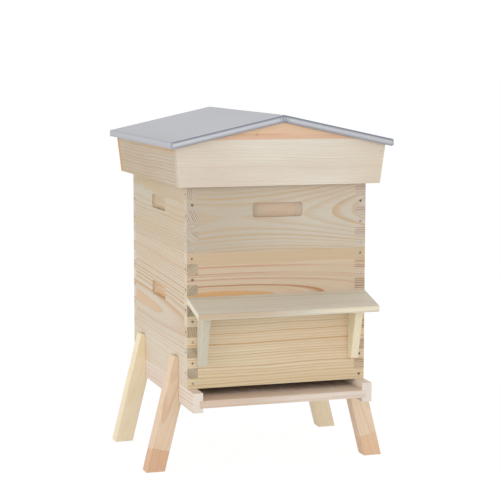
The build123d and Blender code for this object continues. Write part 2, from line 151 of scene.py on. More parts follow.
class Finish:
    """The node tree of a material or of the world, with a method for each thing that a finish needs."""

    def __init__(self, owner):
        owner.use_nodes = True
        self.owner = owner
        self.tree = owner.node_tree
        self.tree.nodes.clear()

    def node(self, kind, settings=None, values=None, out=0):
        """Add a node: settings first, then a number, colour, vector or wire for each socket."""
        made = self.tree.nodes.new("ShaderNode" + kind)
        for key, setting in (settings or {}).items():
            setattr(made, key, setting)
        for key, value in (values or {}).items():
            if isinstance(value, Wire):
                self.tree.links.new(value.socket, made.inputs[key])
            else:
                made.inputs[key].default_value = value
        return Wire(self, made.outputs[out]) if len(made.outputs) else None

    def place(self):
        """Where a point lies on its piece, in metres."""
        return self.node("TexCoord", out="Object")

    def facing(self):
        """The direction in which the surface looks."""
        return self.node("TexCoord", out="Normal")

    def reach(self, vector, direction):
        """How far a vector goes in one direction."""
        return self.node("VectorMath", {"operation": "DOT_PRODUCT"}, {0: vector, 1: direction}, out="Value")

    def point(self, x, y, z):
        """Three numbers as one point."""
        return self.node("CombineXYZ", None, {0: x, 1: y, 2: z})

    def noise(self, vector, scale=1.0, detail=2.0, roughness=0.5):
        """Soft noise from 0 to 1, with that many bumps in a unit."""
        return self.node("TexNoise", None, {"Vector": vector, "Scale": scale, "Detail": detail,
                                            "Roughness": roughness})

    def smooth(self, value, low, high):
        """0 below low and 1 above high, with a soft step between."""
        return self.node("MapRange", {"interpolation_type": "SMOOTHSTEP"}, {0: value, 1: low, 2: high})

    def mix(self, factor, first, second):
        """From the first colour to the second."""
        return self.node("Mix", {"data_type": "RGBA"}, {0: factor, 6: first, 7: second}, out=2)

    def dimmed(self, colour, level):
        """A colour times a level, the same for red, green and blue."""
        return self.node("VectorMath", {"operation": "SCALE"}, {0: colour, "Scale": level})

    def bump(self, height, strength, distance):
        """Relief from a height."""
        return self.node("Bump", None, {"Height": height, "Strength": strength, "Distance": distance})

    def shown_directly(self):
        """1 for what the camera sees, straight, in a mirror or through glass, and 0 for light on the hive."""
        camera_ray, mirror_ray, glass_ray = (
            self.node("LightPath", out=f"Is {ray} Ray") for ray in ("Camera", "Glossy", "Transmission"))
        return camera_ray.most(mirror_ray).most(glass_ray)

    def surface(self, sockets):
        """Close a material's tree with one shader, and give the material."""
        shader = self.node("BsdfPrincipled", None, sockets)
        self.node("OutputMaterial", None, {"Surface": shader})
        return self.owner


def srgb(red, green, blue):
    """A colour as the eye names it, from 0 to 255, as linear light."""
    shares = [channel / 255 for channel in (red, green, blue)]
    linear = [share / 12.92 if share < 0.04045 else ((share + 0.055) / 1.055) ** 2.4 for share in shares]
    return (*linear, 1.0)


print("white as linear light", srgb(255, 255, 255))

# %% [markdown]
# ## Stage and light
# The picture has a white ground and light without hard shadows, as from large soft boxes. The ground and the
# sky show white to the camera only. Towards the hive they give plain studio light, at which a colour renders
# about as it is written. The left face of the hive is a little brighter than its front.

# %% Ground, sky and lamps
white = (1.0, 1.0, 1.0, 1.0)
ground_reach = 60.0
ground_height = -0.0004
ground_corners = ((-1, -1), (1, -1), (1, 1), (-1, 1))
paper_white = 0.9
glow_share = 0.9
glow_strength = 1.05
sky_light = 0.66
hive_middle = Vector((0.0, 0.0, 0.4))

ground_paper = Finish(bpy.data.materials.new("white_ground"))
paper = ground_paper.node("BsdfDiffuse", None, {"Color": (paper_white, paper_white, paper_white, 1.0)})
glow = ground_paper.node("Emission", None, {"Color": white, "Strength": glow_strength})
glowing = ground_paper.shown_directly() * glow_share
shown = ground_paper.node("MixShader", None, {0: glowing, 1: paper, 2: glow})
ground_paper.node("OutputMaterial", None, {"Surface": shown})

ground_mesh = bpy.data.meshes.new("ground")
ground_points = [(x * ground_reach, y * ground_reach, ground_height) for x, y in ground_corners]
ground_mesh.from_pydata(ground_points, [], [(0, 1, 2, 3)])
ground_mesh.materials.append(ground_paper.owner)
ground = bpy.data.objects.new("ground", ground_mesh)
scene.collection.objects.link(ground)

scene.world = bpy.data.worlds.new("studio")
sky = Finish(scene.world)
sky_strength = sky.shown_directly() * (1.0 - sky_light) + sky_light
sky_glow = sky.node("Background", None, {"Color": white, "Strength": sky_strength})
sky.node("OutputWorld", None, {"Surface": sky_glow})


def soft_box(name, place, width, power):
    """A square lamp of that width at a place, turned to the middle of the hive."""
    lamp = bpy.data.objects.new(name, bpy.data.lights.new(name, "AREA"))
    lamp.data.size = width
    lamp.data.energy = power
    lamp.location = place
    lamp.rotation_mode = "QUATERNION"
    lamp.rotation_quaternion = (hive_middle - Vector(place)).to_track_quat("-Z", "Y")
    lamp.visible_camera = False
    scene.collection.objects.link(lamp)


soft_box("left_box", (-3.2, -0.9, 0.9), width=2.2, power=38.0)
soft_box("front_box", (0.2, -3.6, 1.0), width=2.4, power=30.0)
soft_box("right_box", (3.4, 1.2, 1.4), width=2.2, power=24.0)

# %% [markdown]
# ## Grain from the tree
# A pine board shows the year rings of its tree. A picture of grain wrapped round a board goes wrong at the
# edges, so here the rings are solid: each point of the board asks how far it was from the tree's pith. Where
# the saw ran along the rings, the face shows arches; where it ran across them, straight lines; at the ends,
# arcs. The pith's place beside the board, its slope and its bow decide which.

# %% Year rings
usual_tree = dict(
    tilt=0.0,  # how the pith rises towards the face along the board
    bow=0.0,  # the same, growing with the square of the way
    lean=0.0,  # how the pith moves across the board along it
    wander=0.02,  # slow drift of the pith across the board
    sway=0.006,  # slow drift through the board
    wave=0.004,  # how far a ring is out of round
    ring=0.0035,  # width of one year
    uneven=1.2,  # how much the years differ
    line=1.0,  # strength of the late wood
    outer=None,  # where the rings of an old tree get narrower, and their width there
    knots=(),
)
drift_pace = 2.2
wave_pace = 5.0
wave_fineness = 22.0
year_bumps = 90.0
late_rise = (0.3, 0.9)
late_stop = (0.92, 1.0)
faintest_year = 0.25
knot_spread = 3.5
knot_push = 1.6


def knot_nearness(wood, along, across, knot, spread=1.0):
    """1 in the middle of a knot and 0 from its size times spread outwards, twice as long as it is wide."""
    off_along = (along - knot["along"]) * 0.5
    off_across = across - knot["across"]
    off = (off_along * off_along + off_across * off_across).root()
    return 1.0 - wood.smooth(off, 0.0, knot["size"] * spread)


def pith_reach(wood, along, across, deep, tree, seed):
    """How far a point was from the pith, a bent line beside the board, with the growth's own unevenness."""
    drift = wood.noise(wood.point(along * drift_pace + seed, seed, 0.0), detail=1.0) - 0.5
    bent = along * along * tree["bow"] + along * tree["tilt"]
    pith_across = along * tree["lean"] + drift * tree["wander"] + tree["pith"][0]
    pith_deep = bent + drift * tree["sway"] + tree["pith"][1]
    off_width = across - pith_across
    off_depth = deep - pith_deep
    spot = wood.point(along * wave_pace + seed, across * wave_fineness, deep * wave_fineness)
    wave = wood.noise(spot, detail=3.0) - 0.5
    reach = (off_width * off_width + off_depth * off_depth).root() + wave * tree["wave"]
    for knot in tree["knots"]:
        pushed = knot_nearness(wood, along, across, knot, knot_spread)
        reach = reach + pushed * (knot["size"] * knot_push)
    return reach


def late_wood(wood, reach, ring, uneven, seed):
    """Late wood from 0 to 1 and the ring's own chance from 0 to 1.

    A ring's number is the distance to the pith over the ring width. Its late wood is a slow rise over the
    year with a sharp end."""
    bumps = wood.noise(wood.point(reach * year_bumps + seed, 0.0, 0.0), detail=1.0) - 0.5
    count = reach / ring + bumps * uneven
    year = count.fraction()
    late = wood.smooth(year, *late_rise) - wood.smooth(year, *late_stop)
    chance = wood.node("TexWhiteNoise", {"noise_dimensions": "1D"}, {"W": count.floor() + seed})
    return late * (chance * (1.0 - faintest_year) + faintest_year), chance


def rings_of(wood, axes, tree, seed):
    """Distance to the pith, late wood and chance for one tree on a board's axes."""
    tree = {**usual_tree, **tree}
    ring = tree["ring"]
    reach = pith_reach(wood, *axes[:3], tree, seed)
    grown = reach
    if tree["outer"]:
        start, narrow = tree["outer"]
        grown = reach + (reach - start).most(0.0) * (ring / narrow - 1.0)
    late, chance = late_wood(wood, grown, ring, tree["uneven"], seed)
    return reach, late * tree["line"], chance


print("usual ring width", usual_tree["ring"], "m")

# %% [markdown]
# ## One board
# A board is drawn from its rings: pale early wood, tan late wood, here and there a red line. Broad bands of
# resin or sapwood, single dark years, glue lines between strips and end grain come on top. Planed end grain
# drinks dirt and looks grey with dark arcs, which is what makes the finger joints of the corners readable.
# Handholds get painted shade and warm bounce light, and the low band on the brood box's left side is painted
# light, brighter towards the floor.

# %% A board's axes and colours
x_axis = (1.0, 0.0, 0.0)
y_axis = (0.0, 1.0, 0.0)
z_axis = (0.0, 0.0, 1.0)


def tone(early, late, red, blush, blush_share=0.5, contrast=0.8):
    """The colours of one delivery of wood, each as red, green and blue from 0 to 255."""
    return dict(early=srgb(*early), late=srgb(*late), red=srgb(*red), blush=srgb(*blush),
                blush_share=blush_share, contrast=contrast)


def band(low, high, soft, strength, colour, slope=0.0, fades=None):
    """A zone of another colour across a board, which may climb along it and fade out between two places."""
    return dict(low=low, high=high, soft=soft, strength=strength, colour=srgb(*colour), slope=slope,
                fades=fades)


def looks_along(wood, direction):
    """1 where the surface looks along a direction, forwards or backwards, and 0 where it looks across it."""
    return wood.smooth(abs(wood.reach(wood.facing(), direction)), 0.75, 0.9)


def board_axes(wood, node, grain, width):
    """Distances along the grain, across the board and through it, and 1 on the board's ends."""
    low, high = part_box(node)
    grain = Vector(grain).normalized()
    width = Vector(width).normalized()
    centre = tuple((low + high) / 2)
    place = wood.node("VectorMath", {"operation": "SUBTRACT"}, {0: wood.place(), 1: centre})
    axes = [wood.reach(place, tuple(axis)) for axis in (grain, width, grain.cross(width))]
    return (*axes, looks_along(wood, tuple(grain)))


def dress(node, material):
    """Give a node its finish."""
    nodes[node].material_slots[0].material = material


print("grain runs along", x_axis, y_axis, "or", z_axis)

# %% Fibres, bands and handholds
fibre_pace = 26.0
fibre_fineness = 900.0
half_wall = 0.0125
hand_half_length = 0.075
hand_half_height = 0.06
hand_depth = (0.0006, 0.0012)
scoop_place = (0.0445, 0.0475)


def fibre_of(wood, along, across, deep, seed=0.0):
    """Fine noise drawn out along the grain."""
    spot = wood.point(along * fibre_pace + seed, across * fibre_fineness, deep * fibre_fineness)
    return wood.noise(spot, detail=3.0, roughness=0.65)


def banded(wood, colour, axes, patch, zone):
    """A colour with one band laid over it; the band's edges wander with the patches of the wood."""
    along, across = axes[:2]
    low, high, soft = zone["low"], zone["high"], zone["soft"]
    wandering = across - along * zone["slope"] + (patch - 0.5) * soft * 3.0
    inside = wood.smooth(wandering, low - soft, low + soft)
    inside = (inside - wood.smooth(wandering, high - soft, high + soft)) * zone["strength"]
    if zone["fades"]:
        inside = inside * (1.0 - wood.smooth(along, *zone["fades"]))
    return wood.mix(inside, colour, zone["colour"])


def handhold(wood, axes):
    """1 in a wall's handhold, below the face and near the middle, and 1 on the handhold's scooped ends."""
    along, across, deep = axes[:3]
    below = wood.smooth(half_wall - abs(deep), *hand_depth)
    sunk = below * (abs(along) < hand_half_length) * (abs(across) < hand_half_height)
    return sunk, sunk * wood.smooth(abs(along), *scoop_place)


print("walls", 2 * half_wall, "m thick, handholds inside", 2 * hand_half_length, "by", 2 * hand_half_height)

# %% A board's colour
patch_pace = 2.6
patch_fineness = 13.0
red_years = (0.72, 0.8)
heart_edge = 0.0007
heart_rag = 0.0009
rag_pace = 45.0
rag_fineness = 120.0
end_ring = 0.0042
end_uneven = 1.2
knot_brown = srgb(168, 104, 66)
# Painted shade on the scooped ends of the handholds.
painted_scoop_shade = srgb(180, 166, 152)


def pine_colour(wood, axes, tree, tone, seed, glue=None, bands=(), dark_years=(), heart=None, calm=None,
                recess=None, end_strength=0.85, end_tint=((186, 174, 156), (104, 88, 72))):
    """Colour, late wood and fibre of solid wood on a board's axes.

    glue is the height across the board where a second tree starts, and that tree.
    dark_years are (distance to the pith, width, strength, colour) of single rings.
    heart is (greatest distance to the pith, strength, colour) of resin-dark wood.
    calm is (height, height, share): below the first the rings lose that share of their strength.
    recess is (colour, strength, grey): the painted shade and warm bounce light in a handhold, and how much
    grey painted shade its scooped ends get."""
    along, across, deep, on_end = axes
    rings = rings_of(wood, axes, tree, seed)
    shift = 0.0
    if glue:
        joint, other_tree = glue
        beyond = across > joint
        others = rings_of(wood, axes, other_tree, seed + 31.0)
        rings = [own + (other - own) * beyond for own, other in zip(rings, others)]
        shift = beyond * 5.0
    reach, late, chance = rings
    if calm:
        low, high, share = calm
        late = late * (wood.smooth(across, low, high) * share + (1.0 - share))
    spot = wood.point(along * patch_pace + seed, across * patch_fineness + shift, deep * patch_fineness)
    patch = wood.noise(spot)
    colour = wood.mix(wood.smooth(patch, 0.4, 0.75) * tone["blush_share"], tone["early"], tone["blush"])
    for zone in bands:
        colour = banded(wood, colour, axes, patch, zone)
    line = wood.mix(wood.smooth(chance, *red_years), tone["late"], tone["red"])
    colour = wood.mix(late * tone["contrast"], colour, line)
    if heart:
        greatest, strength, shade = heart
        spot = wood.point(along * rag_pace + seed, across * rag_fineness, deep * rag_fineness)
        ragged = wood.noise(spot) - 0.5
        resin = 1.0 - wood.smooth(reach + ragged * heart_rag, greatest - heart_edge, greatest)
        colour = wood.mix(resin * strength, colour, srgb(*shade))
    for radius, width, strength, shade in dark_years:
        dark = wood.smooth(reach, radius - width, radius) - wood.smooth(reach, radius, radius + 0.3 * width)
        colour = wood.mix(dark * (wood.smooth(patch, 0.2, 0.6) * strength), colour, srgb(*shade))
    for knot in tree.get("knots", ()):
        near = wood.smooth(knot_nearness(wood, along, across, knot), 0.35, 0.75)
        colour = wood.mix(near * knot["strength"], colour, knot_brown)
    # Painted shade in a handhold: warmer and darker inside, greyer on the scooped ends; most end grain is
    # left out there.
    if recess:
        shade, strength, grey = recess
        sunk, scooped = handhold(wood, axes)
        colour = wood.mix(sunk * strength, colour, srgb(*shade))
        colour = wood.mix(scooped * grey, colour, painted_scoop_shade)
        on_end = on_end * (1.0 - sunk * 0.8)
    fibre = fibre_of(wood, along, across, deep, seed)
    colour = wood.dimmed(colour, wood.smooth(fibre, 0.25, 0.75) * 0.09 + 0.94)
    end_late = late_wood(wood, reach, end_ring, end_uneven, seed + 3.0)[0]
    end_pale, end_dark = (srgb(*shade) for shade in end_tint)
    end_colour = wood.mix(wood.smooth(end_late, 0.1, 0.6), end_pale, end_dark)
    colour = wood.mix(on_end * end_strength, colour, end_colour)
    return colour, late, fibre


print("rings on a board's ends", end_ring, "m wide")

# %% A board's surface
def pine_surface(wood, colour, late, fibre, on_end):
    """Planed softwood: dull ends, and hard late wood that stands a little proud and shines a little more."""
    return wood.surface({
        "Base Color": colour,
        "Roughness": on_end * 0.14 + (0.6 - late * 0.12),
        "Normal": wood.bump(fibre * 0.6 + late * 0.5, strength=0.3, distance=0.0003),
    })


def pine(node, grain, width, tree, tone, seed, **features):
    """Dress a board whose grain and width run along two directions."""
    wood = Finish(bpy.data.materials.new(node + "_pine"))
    axes = board_axes(wood, node, grain, width)
    colour, late, fibre = pine_colour(wood, axes, tree, tone, seed, **features)
    dress(node, pine_surface(wood, colour, late, fibre, axes[3]))


print("boards to dress", sum(1 for node in nodes if node.endswith("_board")))

# %% [markdown]
# ## Boards of the two boxes
# Each board is one spec: which tree, and where the saw passed it. The front of the brood box is glued up from
# two strips. The upper one has its pith behind the porch line, which gives the long orange island there. The
# left side of the brood box was sawn close to a resin streak and shows an orange tongue. On the super's front
# the pith bends towards the face at both ends, so that the rings close into one tongue on each side.

# %% Box boards
brood_front_tone = tone((225, 209, 180), (201, 161, 108), (198, 154, 100), (223, 197, 163), 0.5, 0.9)
brood_side_tone = tone((210, 197, 177), (194, 157, 106), (196, 150, 102), (210, 187, 164), 0.5, 0.95)
super_front_tone = tone((204, 194, 177), (190, 158, 114), (192, 158, 116), (202, 180, 152), 0.6, 0.85)
super_side_tone = tone((199, 189, 171), (190, 160, 106), (193, 158, 106), (206, 178, 144), 0.5, 1.0)
island_orange = (208, 158, 96)
brood_end = dict(end_strength=0.8, end_tint=((220, 209, 194), (204, 188, 168)))
super_end = dict(end_strength=0.8, end_tint=((207, 197, 182), (190, 176, 158)))
# Painted shade and warm bounce light for the inside of the handholds.
painted_recess_shade = (220, 186, 144)
painted_super_recess_shade = (205, 180, 154)
strip_joint = 0.045

box_boards = {
    "brood_front_board": dict(
        tree=dict(pith=(-0.30, -0.16), ring=0.0052, wave=0.008, lean=0.02, line=1.1),
        glue=(strip_joint, dict(pith=(0.057, -0.0462), tilt=-0.0239, bow=-0.0956, ring=0.0032, wave=0.0025,
                                wander=0.004, sway=0.001, line=0.4)),
        heart=(0.0588, 0.8, island_orange),
        dark_years=[(0.0620, 0.0014, 1.0, (172, 112, 66)), (0.0686, 0.0016, 0.9, (182, 128, 96)),
                    (0.0735, 0.0018, 0.7, (192, 142, 116)), (0.0762, 0.0022, 0.9, (186, 134, 110)),
                    (0.0874, 0.0040, 0.8, (190, 138, 112))],
        bands=[band(0.124, 0.2, 0.006, 0.8, (197, 172, 140)),
               band(strip_joint, 0.124, 0.004, 0.6, (195, 172, 149)),
               band(-0.2, -0.12, 0.015, 0.5, (217, 197, 156))],
        tone=brood_front_tone, seed=1.0, **brood_end),
    "brood_left_board": dict(
        tree=dict(pith=(-0.009, 0.0675), lean=0.02, tilt=-0.0126, bow=0.034, ring=0.00729, wave=0.0022,
                  wander=0.004, sway=0.001, uneven=0.25, outer=(0.0948, 0.0056), line=1.4),
        heart=(0.0802, 0.55, (218, 176, 132)),
        dark_years=[(0.0802, 0.0008, 0.7, (206, 150, 106)), (0.0875, 0.0008, 0.7, (208, 158, 124))],
        calm=(-0.04, 0.06, 0.65),
        # The lower part of the board is painted light: lighter towards the floor.
        bands=[band(-0.2, -0.07, 0.03, 0.5, (228, 216, 196)),
               band(-0.2, -0.115, 0.012, 0.5, (214, 188, 140), fades=(0.2, 0.02))],
        recess=(painted_recess_shade, 0.5, 0.1), tone=brood_side_tone, seed=2.0,
        end_tint=((188, 172, 144), (104, 86, 66))),
    "brood_back_board": dict(
        tree=dict(pith=(0.05, 0.06), tilt=0.02, ring=0.0036), tone=brood_front_tone, seed=3.0,
        **brood_end),
    "brood_right_board": dict(
        tree=dict(pith=(-0.26, -0.02), tilt=0.016, lean=0.02, ring=0.007), recess=(painted_recess_shade, 0.5, 0.1),
        tone=brood_side_tone, seed=4.0, end_tint=((205, 180, 148), (118, 88, 74))),
    "super_front_board": dict(
        tree=dict(pith=(-0.002, -0.1375), tilt=0.0233, bow=0.1244, lean=0.03, ring=0.00315, wave=0.0022,
                  wander=0.006, sway=0.001, uneven=0.3),
        bands=[band(-0.2, 0.2, 0.01, 0.75, (186, 172, 152), fades=(-0.16, 0.1))],
        recess=(painted_super_recess_shade, 0.75, 0.4), tone=super_front_tone, seed=5.0, **super_end),
    "super_left_board": dict(
        tree=dict(pith=(0.045, 0.0875), tilt=0.008, ring=0.006, wave=0.006, wander=0.02, uneven=0.5,
                  outer=(0.112, 0.0049)),
        recess=(painted_recess_shade, 0.25, 0.1), tone=super_side_tone, seed=6.0,
        end_tint=((200, 188, 170), (128, 102, 90))),
    "super_back_board": dict(
        tree=dict(pith=(0.02, 0.11), tilt=-0.02, ring=0.0036), recess=(painted_super_recess_shade, 0.75, 0.4),
        tone=super_front_tone, seed=7.0, **super_end),
    "super_right_board": dict(
        tree=dict(pith=(-0.13, -0.004), bow=0.1, ring=0.0055), recess=(painted_recess_shade, 0.25, 0.1),
        tone=super_side_tone, seed=8.0, end_tint=((203, 188, 170), (162, 124, 118))),
}
for board, spec in box_boards.items():
    grain = x_axis if "front" in board or "back" in board else y_axis
    pine(board, grain, z_axis, **spec)
print("box boards", len(box_boards))

# %% [markdown]
# ## Floor and porch
# The floor is pinkish and blotched, with broad smoky figure. The porch is a greenish cream, a poplar more
# than a pine, with tan streaks along its front edge. The same board finish serves for all of them: wide,
# wavy rings in a tone of their own are enough, so no texture has to be painted.

# %% Floor and porch boards
floor_tone = tone((230, 216, 202), (200, 166, 138), (202, 158, 134), (222, 196, 182), 0.6, 0.7)
porch_tone = tone((216, 209, 193), (190, 176, 146), (192, 168, 136), (208, 201, 185), 0.7, 0.55)
smoky = dict(ring=0.009, wave=0.02)

floor_trees = {
    "left_floor_rail": (y_axis, z_axis, dict(pith=(0.05, -0.06), tilt=0.02, ring=0.006)),
    "right_floor_rail": (y_axis, z_axis, dict(pith=(0.04, -0.07), tilt=0.02, ring=0.006)),
    "left_floor_board": (y_axis, x_axis, dict(pith=(0.02, -0.05), tilt=0.04, wander=0.03, **smoky)),
    "right_floor_board": (y_axis, x_axis, dict(pith=(0.06, -0.06), tilt=0.03, **smoky)),
    "back_floor_rail": (x_axis, z_axis, dict(pith=(0.06, -0.05), tilt=0.02, ring=0.005)),
    "landing_strip": (x_axis, y_axis, dict(pith=(0.05, -0.05), tilt=0.02, ring=0.006)),
}
strip_brown = band(-0.1, 0.1, 0.01, 0.55, (206, 176, 152), fades=(-0.12, 0.08))
floor_end = dict(end_strength=0.85, end_tint=((234, 224, 212), (226, 212, 198)))
for number, (board, (grain, width, tree)) in enumerate(floor_trees.items()):
    streaks = [strip_brown] if board == "landing_strip" else ()
    pine(board, grain, width, tree, floor_tone, 20.0 + number, bands=streaks, **floor_end)

porch_tree = dict(pith=(0.09, -0.07), tilt=0.01, ring=0.007)
porch_end = dict(end_strength=0.8, end_tint=((232, 225, 204), (214, 204, 178)))
porch_streaks = [band(-0.09, -0.0445, 0.0008, 0.6, (198, 162, 122), fades=(-0.1, 0.06)),
                 band(-0.09, -0.0445, 0.0008, 0.8, (243, 233, 205), fades=(0.14, 0.0))]
pine("porch_board", x_axis, y_axis, porch_tree, porch_tone, 40.0, bands=porch_streaks, **porch_end)

bracket_tree = dict(porch_tree, line=0.3)
bracket_tones = {
    "left": tone((206, 200, 181), (184, 170, 138), (186, 162, 128), (200, 193, 174), 0.7, 0.55),
    "right": tone((238, 227, 198), (216, 198, 156), (218, 192, 148), (232, 219, 186), 0.7, 0.55),
}
for number, (side, bracket_tone) in enumerate(bracket_tones.items()):
    pine(f"{side}_porch_bracket", z_axis, y_axis, bracket_tree, bracket_tone, 41.0 + number, **porch_end)
print("floor pieces", len(floor_trees), "and porch pieces", 1 + len(bracket_tones))

# %% [markdown]
# ## Legs
# A leg is a bar with its grain along its lean. The two front legs are spliced from two lengths: the foot is
# redder wood, and the joint between them is a row of small fingers, straight on the wide face and toothed on
# the narrow one. It could be cut into two meshes, but a leg is one solid, so the splice is one more mask: a
# step along the grain whose place goes up and down like a saw.

# %% Leg wood
leg_lean = math.radians(14.0)
leg_tone = tone((231, 207, 179), (214, 174, 138), (212, 166, 132), (228, 198, 168), 0.5, 0.55)
right_leg_tone = tone((239, 216, 189), (224, 188, 152), (220, 176, 142), (236, 208, 178))
# The back legs' tone is painted light: lighter than their wood, against the shade that the hive casts on
# them.
back_leg_painted_light_tone = tone((246, 230, 199), (236, 211, 168), (234, 200, 162), (244, 226, 192), 0.5, 0.5)
left_foot_tone = tone((222, 184, 150), (204, 156, 120), (200, 146, 112), (218, 174, 138))
right_foot_tone = tone((234, 201, 167), (218, 176, 140), (214, 166, 132), (230, 191, 155))
leg_tones = {
    "front_left_leg": (leg_tone, left_foot_tone),
    "front_right_leg": (right_leg_tone, right_foot_tone),
    "back_left_leg": (back_leg_painted_light_tone,),
    "back_right_leg": (back_leg_painted_light_tone,),
}
leg_tree = dict(pith=(0.03, 0.003), lean=0.03, ring=0.0035, wander=0.006)
foot_tree = dict(pith=(-0.04, 0.05), tilt=0.05, ring=0.004)
leg_end = dict(end_strength=0.6, end_tint=((232, 208, 178), (214, 184, 150)))
splice_place = 0.09
tooth_pitch = 0.006
tooth_length = 0.008


def leg_wood(leg, down, seed, upper_tone, foot_tone=None):
    """Wood for a leaning leg; where a foot is spliced on, it has a tone and a tree of its own."""
    wood = Finish(bpy.data.materials.new(leg + "_pine"))
    axes = board_axes(wood, leg, down, y_axis)
    colour, late, fibre = pine_colour(wood, axes, leg_tree, upper_tone, seed, **leg_end)
    if foot_tone:
        along, across = axes[:2]
        foot_colour, foot_late = pine_colour(wood, axes, foot_tree, foot_tone, seed + 9.0, **leg_end)[:2]
        tooth = abs((across / tooth_pitch).fraction() - 0.5) * (2.0 * tooth_length)
        below = along + tooth > splice_place
        colour = wood.mix(below, colour, foot_colour)
        late = late + (foot_late - late) * below
    dress(leg, pine_surface(wood, colour, late, fibre, axes[3]))


for number, (leg, tones) in enumerate(leg_tones.items()):
    side = -1 if "left" in leg else 1
    down = (side * math.sin(leg_lean), 0.0, -math.cos(leg_lean))
    leg_wood(leg, down, 30.0 + number, *tones)
print("legs", len(leg_tones))

# %% [markdown]
# ## Tray and roof boards
# The tray's rim is pinkish, and its panel a grey board. The roof's gables are pale with a red heart streak
# under the ridge, and its sides orange below the eaves, more so towards the front. These streaks are bands
# in the wood, not paint on a face, so they run on round the edges of a board.

# %% Tray and roof boards
tray_tone = tone((204, 188, 175), (168, 138, 116), (176, 134, 116), (202, 180, 168), 0.6, 0.8)
tray_end_tone = tone((201, 186, 170), (160, 130, 104), (170, 128, 106), (198, 178, 162), 0.6, 0.9)
gable_tone = tone((227, 220, 206), (202, 181, 143), (206, 179, 141), (219, 204, 190), 0.8, 0.75)
roof_side_tone = tone((194, 180, 160), (168, 140, 100), (174, 138, 100), (186, 161, 132), 0.8, 0.8)

tray_tree = dict(pith=(0.06, 0.05), tilt=0.02, ring=0.006)
panel_joint = [band(-0.1, -0.0122, 0.0003, 0.8, (122, 100, 86))]
for number, side in enumerate(("front", "back", "left", "right")):
    grain, stick_tone = (x_axis, tray_end_tone) if side in ("front", "back") else (y_axis, tray_tone)
    pine(f"tray_{side}_stick", grain, z_axis, tray_tree, stick_tone, 50.0 + number, bands=panel_joint,
         end_strength=0.4)

gable_knot = dict(along=-0.062, across=0.0415, size=0.0035, strength=0.5)
gable_tree = dict(pith=(-0.22, 0.1), tilt=0.012, ring=0.0031, wave=0.006, wander=0.03, line=0.9,
                  knots=[gable_knot])
gable_ends = {
    "front": dict(end_strength=0.4),
    "back": dict(end_strength=0.85, end_tint=((206, 150, 86), (188, 130, 72))),
}
ridge_red = [
    band(0.0295, 0.2, 0.0022, 0.85, (222, 174, 142)),
    band(0.041, 0.2, 0.003, 0.6, (234, 200, 166)),
    band(0.0395, 0.0435, 0.0015, 0.5, (206, 148, 114), fades=(-0.02, 0.03)),
    band(-0.2, 0.028, 0.006, 0.4, (208, 190, 176), fades=(-0.18, -0.05)),
    band(-0.2, 0.028, 0.006, 0.4, (214, 192, 166), fades=(0.23, 0.13)),
]
for number, (side, ends) in enumerate(gable_ends.items()):
    pine(f"{side}_gable", x_axis, z_axis, gable_tree, gable_tone, 60.0 + number, bands=ridge_red, **ends)

roof_side_tree = dict(pith=(-0.14, 0.07), tilt=0.02, ring=0.007, wave=0.01)
eave_orange = [band(0.03, 0.1, 0.004, 0.65, (208, 168, 124), slope=0.036)]
for number, side in enumerate(("left", "right")):
    pine(f"{side}_roof_side", y_axis, z_axis, roof_side_tree, roof_side_tone, 64.0 + number,
         bands=eave_orange)
pine("roof_rests", y_axis, x_axis, dict(pith=(0.1, 0.1), tilt=0.01), gable_tone, 68.0)
print("tray sticks 4, gables", len(gable_ends), "and roof sides 2, with the rests inside")

# %% [markdown]
# ## Sheet wood
# The roof deck is plywood: a peeled face with wide, wandering figure, and thin plies at its edges. The tray's
# panel is a grey-white hardboard of pressed fibre, which has no grain at all. The plies are counted through
# the thickness, so that every cut shows them without a mesh for each ply.

# %% Plywood and hardboard
ply_pale = srgb(226, 206, 172)
ply_dark = srgb(196, 160, 116)
ply_thickness = 0.0018
peel_pace = 1.6
peel_fineness = 14.0
peel_rings = 9.0
fibre_grey = srgb(178, 172, 160)
fibre_pale = srgb(222, 216, 206)
roof_pitch = math.tan(math.radians(12.3))


def plywood(node, slope):
    """Peeled veneer on the faces, plies of two tones stacked through the edges; slope is the deck's pitch."""
    wood = Finish(bpy.data.materials.new(node + "_ply"))
    along, across, height, on_end = board_axes(wood, node, y_axis, x_axis)
    spot = wood.point(along * peel_pace, across * peel_fineness, 3.0)
    figure = wood.noise(spot, detail=3.0) * peel_rings
    veneer = wood.smooth(figure.fraction(), 0.35, 0.95)
    through = (height + across * slope) / ply_thickness
    ply = (through * 0.5).fraction() > 0.5
    flat = wood.smooth(abs(wood.reach(wood.facing(), z_axis)), 0.4, 0.8)
    fibre = fibre_of(wood, along, across, height)
    edge = wood.mix(ply, ply_pale, ply_dark)
    face = wood.mix(veneer * 0.45, ply_pale, ply_dark)
    colour = wood.dimmed(wood.mix(flat, edge, face), fibre * 0.12 + 0.92)
    dress(node, pine_surface(wood, colour, veneer * flat, fibre, on_end))


def hardboard(node):
    """Pressed fibre: fine mottle in tone and relief."""
    board = Finish(bpy.data.materials.new(node + "_fibre"))
    speck = board.noise(board.place(), scale=700.0, detail=3.0, roughness=0.7)
    cloud = board.noise(board.place(), scale=30.0)
    colour = board.mix(speck * 0.6 + cloud * 0.4, fibre_grey, fibre_pale)
    dress(node, board.surface({"Base Color": colour, "Roughness": speck * 0.2 + 0.55,
                               "Normal": board.bump(speck, strength=0.3, distance=0.0002)}))


plywood("left_roof_deck", -roof_pitch)
plywood("right_roof_deck", roof_pitch)
hardboard("tray_panel")
print("decks 2 and tray panel 1")

# %% [markdown]
# ## Frames
# Twenty frames hang in the boxes. A frame's bars have their grain along their own length: the top and bottom
# bars lie along the hive, and the end bars stand. One material does both, by swapping the axes where a point
# is on an end bar. Some frames are whitish, some reddish.

# %% Frame wood
frames_in_a_box = 10
end_bar_from = 0.2074
lug_thickness = 0.0101
white_bars = tone((226, 211, 200), (200, 168, 144), (204, 154, 138), (222, 198, 188), 0.5, 0.5)
red_bars = tone((212, 184, 164), (184, 138, 112), (186, 120, 100), (206, 166, 146), 0.6, 0.6)


